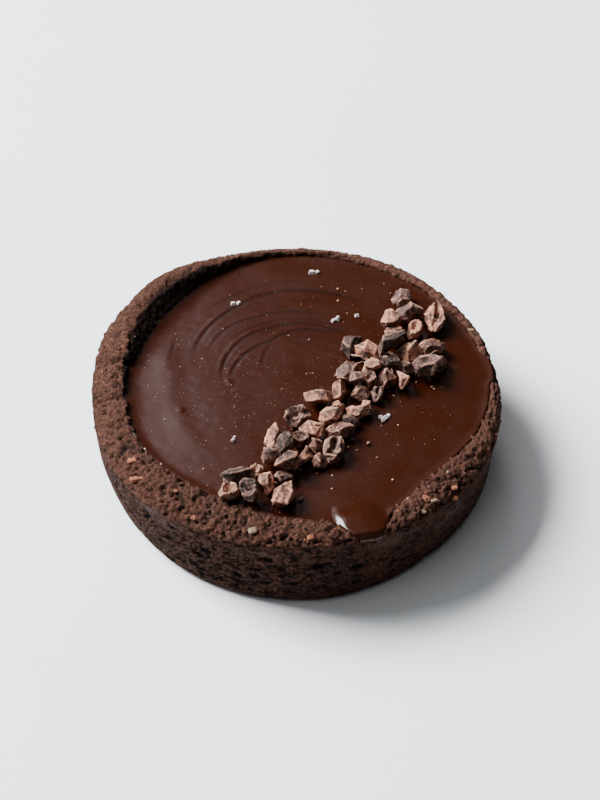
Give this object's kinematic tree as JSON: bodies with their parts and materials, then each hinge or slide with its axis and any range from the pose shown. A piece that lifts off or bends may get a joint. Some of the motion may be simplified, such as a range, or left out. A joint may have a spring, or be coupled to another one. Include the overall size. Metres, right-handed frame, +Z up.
{
  "type": "chocolate tart",
  "caption": "Small round cocoa shortcrust tart filled level with dark chocolate ganache, with a drift of cacao nibs across its top and a few salt flakes.",
  "frame": {"origin": "middle of the underside", "axes": "+Z up through the tart, -Y towards the front, where the rim is broad and the ganache has run out over it, +X to the right; the nibs run from the back right to the front left"},
  "size_m": [0.0798, 0.0797, 0.0244],
  "materials": {
    "crust": "baked cocoa shortcrust, dry and crumbly, with fine pits and lighter broken crumb on the rim",
    "ganache": "smooth set dark chocolate ganache, satin, with faint spatula arcs",
    "cacao_nib": "roasted cacao nib, dry, tan on its skins and edges and purple brown in its breaks",
    "salt": "clear to white salt flakes, small and glinting"
  },
  "bodies": {
    "root": {"case": "crust", "ganache": "ganache", "nib_01": "cacao_nib", "nib_02": "cacao_nib", "nib_03": "cacao_nib", "nib_04": "cacao_nib", "nib_05": "cacao_nib", "nib_06": "cacao_nib", "nib_07": "cacao_nib", "nib_08": "cacao_nib", "nib_09": "cacao_nib", "nib_10": "cacao_nib", "nib_11": "cacao_nib", "nib_12": "cacao_nib", "nib_13": "cacao_nib", "nib_14": "cacao_nib", "nib_15": "cacao_nib", "nib_16": "cacao_nib", "nib_17": "cacao_nib", "nib_18": "cacao_nib", "nib_19": "cacao_nib", "nib_20": "cacao_nib", "nib_21": "cacao_nib", "nib_22": "cacao_nib", "nib_23": "cacao_nib", "nib_24": "cacao_nib", "nib_25": "cacao_nib", "nib_26": "cacao_nib", "nib_27": "cacao_nib", "nib_28": "cacao_nib", "nib_29": "cacao_nib", "nib_30": "cacao_nib", "nib_31": "cacao_nib", "nib_32": "cacao_nib", "nib_33": "cacao_nib", "nib_34": "cacao_nib", "nib_35": "cacao_nib", "nib_36": "cacao_nib", "nib_37": "cacao_nib", "nib_38": "cacao_nib", "nib_39": "cacao_nib", "nib_40": "cacao_nib", "nib_41": "cacao_nib", "nib_42": "cacao_nib", "nib_43": "cacao_nib", "nib_44": "cacao_nib", "nib_45": "cacao_nib", "nib_46": "cacao_nib", "nib_47": "cacao_nib", "nib_48": "cacao_nib", "nib_49": "cacao_nib"}
  },
  "joints": []
}
